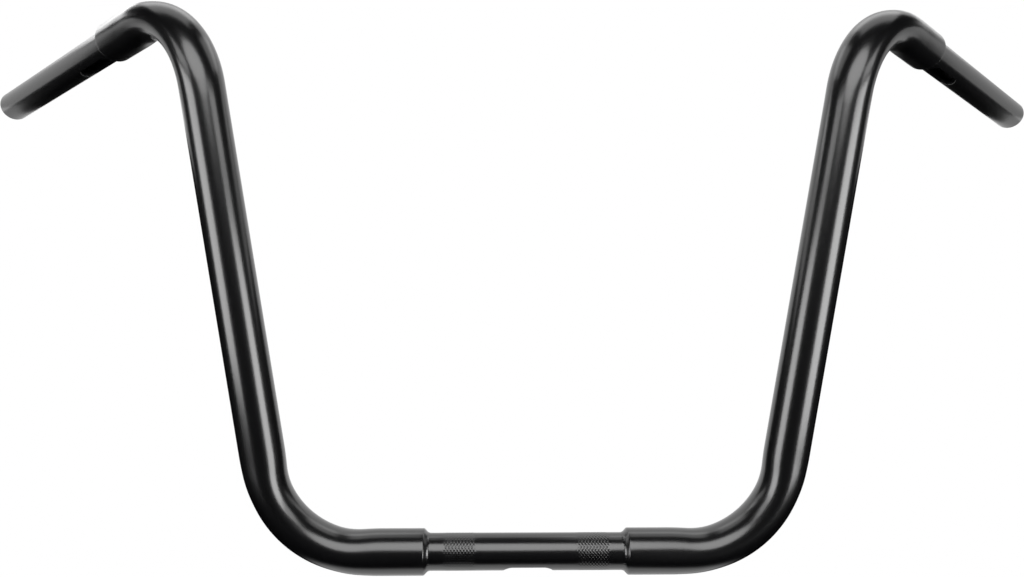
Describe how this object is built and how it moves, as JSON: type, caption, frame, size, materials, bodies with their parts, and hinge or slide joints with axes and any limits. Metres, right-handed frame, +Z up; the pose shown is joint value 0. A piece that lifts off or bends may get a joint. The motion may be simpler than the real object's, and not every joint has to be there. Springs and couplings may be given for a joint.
{
  "type": "ape hanger handlebar",
  "caption": "Tall ape hanger handlebar of welded steel tube: knurled clamp section, outward-leaning bent uprights and swept-back grip ends, with slots for hidden wiring.",
  "frame": {"origin": "middle of the clamp tube, on its axis, between the two riser clamps", "axes": "+X along the clamp tube to the right as the front is seen, +Y back to the rider, +Z up the uprights"},
  "size_m": [0.936, 0.2153, 0.4134],
  "materials": {
    "black_powder_coat": "satin black powder coat"
  },
  "bodies": {
    "root": {"centre_clamp_tube": "black_powder_coat", "right_upright_tube": "black_powder_coat", "left_upright_tube": "black_powder_coat", "right_grip_tube": "black_powder_coat", "left_grip_tube": "black_powder_coat", "right_clamp_weld": "black_powder_coat", "left_clamp_weld": "black_powder_coat", "right_grip_weld": "black_powder_coat", "left_grip_weld": "black_powder_coat"}
  },
  "joints": []
}
